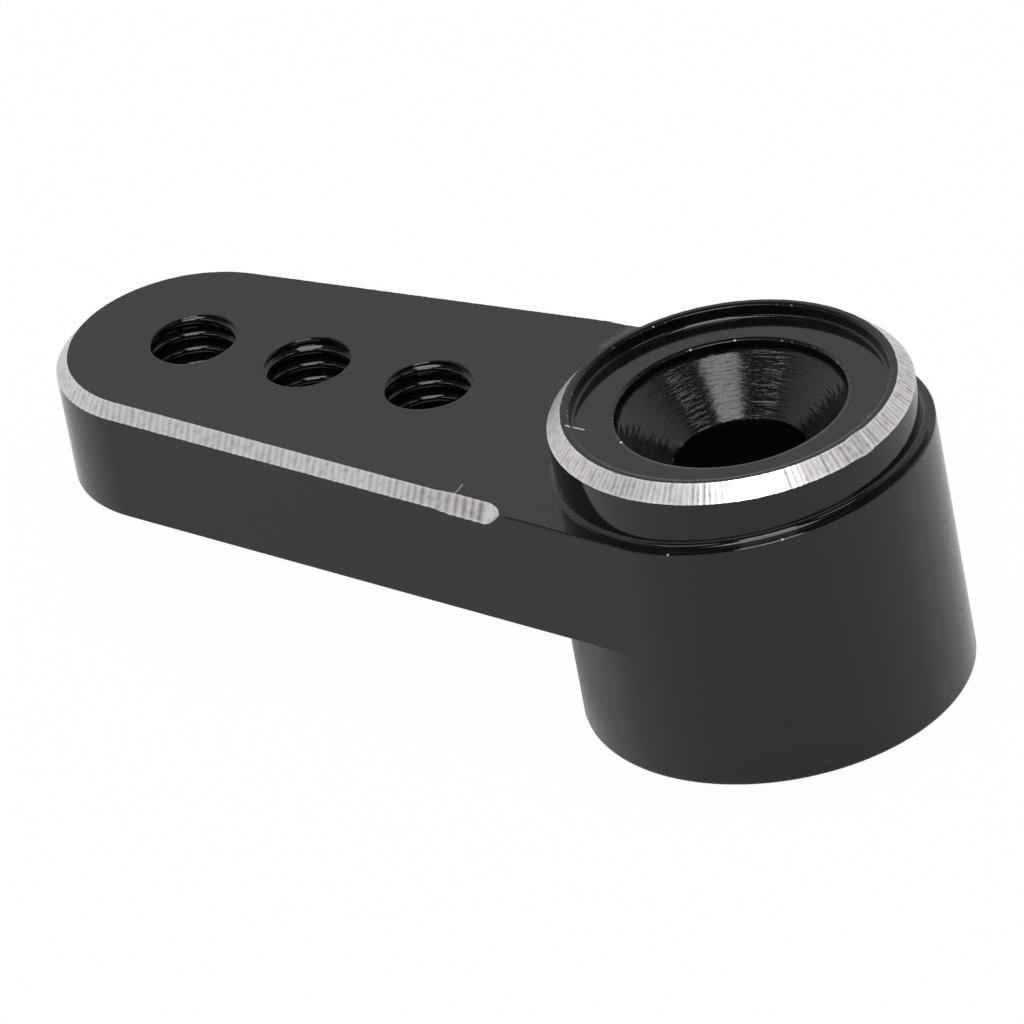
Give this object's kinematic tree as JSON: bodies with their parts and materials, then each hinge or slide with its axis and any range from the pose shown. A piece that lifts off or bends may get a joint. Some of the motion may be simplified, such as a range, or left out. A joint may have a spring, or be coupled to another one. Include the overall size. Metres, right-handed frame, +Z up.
{
  "type": "servo horn",
  "caption": "Single-arm metal servo horn: splined hub with a raised collar and a countersunk screw seat, and a tapered arm with a row of tapped holes.",
  "frame": {"origin": "on the spline axis, at the mouth of the spline socket in the hub's foot", "axes": "+X along the arm, from the hub to the round end; +Z up the spline axis, from the foot to the collar"},
  "size_m": [0.029, 0.0116, 0.0098],
  "materials": {
    "anodised": "black anodised, semi-gloss, with bright-cut chamfers"
  },
  "bodies": {
    "root": {"servo_horn": "anodised"}
  },
  "joints": []
}
